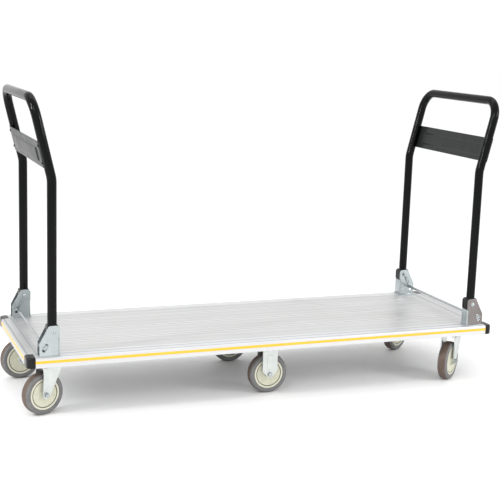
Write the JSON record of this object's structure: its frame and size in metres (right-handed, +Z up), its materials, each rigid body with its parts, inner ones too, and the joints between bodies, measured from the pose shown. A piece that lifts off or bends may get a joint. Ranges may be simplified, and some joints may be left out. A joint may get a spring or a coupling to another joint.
{
  "type": "folding platform cart",
  "caption": "Long aluminium platform cart on casters, with a folding tubular push handle at each end.",
  "frame": {"origin": "on the floor, under the centre of the deck", "axes": "+X along the deck, +Y across it towards the rear rail, +Z up"},
  "size_m": [1.5353, 0.5087, 0.9282],
  "materials": {
    "deck_aluminium": "satin mill finish",
    "rail_aluminium": "satin anodised",
    "edge_strip": "smooth",
    "black_plastic": "fine moulded",
    "frame_steel": "satin",
    "zinc_plate": "bright zinc plating",
    "bright_steel": "bright",
    "spring_steel": "bright wire",
    "black_enamel": "gloss powder coat",
    "wheel_hub": "satin moulded",
    "tyre": "matte"
  },
  "bodies": {
    "platform": {"deck_planks": "deck_aluminium", "front_rail": "rail_aluminium", "rear_rail": "rail_aluminium", "left_end_rail": "rail_aluminium", "right_end_rail": "rail_aluminium", "edge_strips": "edge_strip", "corner_caps": "black_plastic", "crossbars": "frame_steel", "left_front_bracket": "zinc_plate", "left_rear_bracket": "zinc_plate", "right_front_bracket": "zinc_plate", "right_rear_bracket": "zinc_plate", "bracket_bolts": "bright_steel", "left_pivot_pins": "bright_steel", "right_pivot_pins": "bright_steel", "left_latch_springs": "spring_steel", "right_latch_springs": "spring_steel", "caster_bolts": "bright_steel", "swivel_balls": "spring_steel", "front_left_caster_plate": "zinc_plate", "front_right_caster_plate": "zinc_plate", "rear_left_caster_plate": "zinc_plate", "rear_right_caster_plate": "zinc_plate", "front_middle_fork": "zinc_plate", "rear_middle_fork": "zinc_plate", "front_middle_axle": "bright_steel", "rear_middle_axle": "bright_steel"},
    "left_handle": {"left_handle_tube": "black_enamel", "left_handle_panel": "black_enamel", "left_panel_rivets": "black_enamel", "left_handle_knuckles": "black_plastic"},
    "left_lock": {"left_lock_rod": "bright_steel", "left_rod_washers": "bright_steel"},
    "right_handle": {"right_handle_tube": "black_enamel", "right_handle_panel": "black_enamel", "right_panel_rivets": "black_enamel", "right_handle_knuckles": "black_plastic"},
    "right_lock": {"right_lock_rod": "bright_steel", "right_rod_washers": "bright_steel"},
    "front_left_swivel": {"front_left_fork": "zinc_plate", "front_left_axle": "bright_steel"},
    "front_right_swivel": {"front_right_fork": "zinc_plate", "front_right_axle": "bright_steel"},
    "rear_left_swivel": {"rear_left_fork": "zinc_plate", "rear_left_axle": "bright_steel"},
    "rear_right_swivel": {"rear_right_fork": "zinc_plate", "rear_right_axle": "bright_steel"},
    "front_left_wheel": {"front_left_hub": "wheel_hub", "front_left_tyre": "tyre"},
    "front_right_wheel": {"front_right_hub": "wheel_hub", "front_right_tyre": "tyre"},
    "rear_left_wheel": {"rear_left_hub": "wheel_hub", "rear_left_tyre": "tyre"},
    "rear_right_wheel": {"rear_right_hub": "wheel_hub", "rear_right_tyre": "tyre"},
    "front_middle_wheel": {"front_middle_hub": "wheel_hub", "front_middle_tyre": "tyre"},
    "rear_middle_wheel": {"rear_middle_hub": "wheel_hub", "rear_middle_tyre": "tyre"}
  },
  "joints": [
    {"name": "left_handle_fold", "type": "hinge", "parent": "platform", "child": "left_handle", "pos_m": [-0.687, 0, 0.258], "axis": [0, 1, 0], "range_deg": [0, 90]},
    {"name": "right_handle_fold", "type": "hinge", "parent": "platform", "child": "right_handle", "pos_m": [0.687, 0, 0.258], "axis": [0, -1, 0], "range_deg": [0, 90]},
    {"name": "left_lock_press", "type": "slide", "parent": "platform", "child": "left_lock", "axis": [-0.4472, 0, -0.8944], "range_m": [0, 0.01], "stiffness_N_per_m": 900, "springref_m": -0.012},
    {"name": "right_lock_press", "type": "slide", "parent": "platform", "child": "right_lock", "axis": [0.4472, 0, -0.8944], "range_m": [0, 0.01], "stiffness_N_per_m": 900, "springref_m": -0.012},
    {"name": "front_left_swivel", "type": "hinge", "parent": "platform", "child": "front_left_swivel", "pos_m": [-0.6665, -0.1768, 0.147], "axis": [0, 0, 1], "continuous": true},
    {"name": "front_right_swivel", "type": "hinge", "parent": "platform", "child": "front_right_swivel", "pos_m": [0.6665, -0.1768, 0.147], "axis": [0, 0, 1], "continuous": true},
    {"name": "rear_left_swivel", "type": "hinge", "parent": "platform", "child": "rear_left_swivel", "pos_m": [-0.6665, 0.1768, 0.147], "axis": [0, 0, 1], "continuous": true},
    {"name": "rear_right_swivel", "type": "hinge", "parent": "platform", "child": "rear_right_swivel", "pos_m": [0.6665, 0.1768, 0.147], "axis": [0, 0, 1], "continuous": true},
    {"name": "front_left_wheel_spin", "type": "hinge", "parent": "front_left_swivel", "child": "front_left_wheel", "pos_m": [-0.70785, -0.19185, 0.0625], "axis": [0.342, -0.9397, 0], "continuous": true},
    {"name": "front_right_wheel_spin", "type": "hinge", "parent": "front_right_swivel", "child": "front_right_wheel", "pos_m": [0.63279, -0.20508, 0.0625], "axis": [0.6428, -0.766, 0], "continuous": true},
    {"name": "rear_left_wheel_spin", "type": "hinge", "parent": "rear_left_swivel", "child": "rear_left_wheel", "pos_m": [-0.71007, 0.17068, 0.0625], "axis": [0.1392, -0.9903, 0], "continuous": true},
    {"name": "rear_right_wheel_spin", "type": "hinge", "parent": "rear_right_swivel", "child": "rear_right_wheel", "pos_m": [0.62879, 0.15414, 0.0625], "axis": [0.515, -0.8572, 0], "continuous": true},
    {"name": "front_middle_wheel_spin", "type": "hinge", "parent": "platform", "child": "front_middle_wheel", "pos_m": [0, -0.1752, 0.0625], "axis": [0, 1, 0], "continuous": true},
    {"name": "rear_middle_wheel_spin", "type": "hinge", "parent": "platform", "child": "rear_middle_wheel", "pos_m": [0, 0.1752, 0.0625], "axis": [0, 1, 0], "continuous": true}
  ]
}
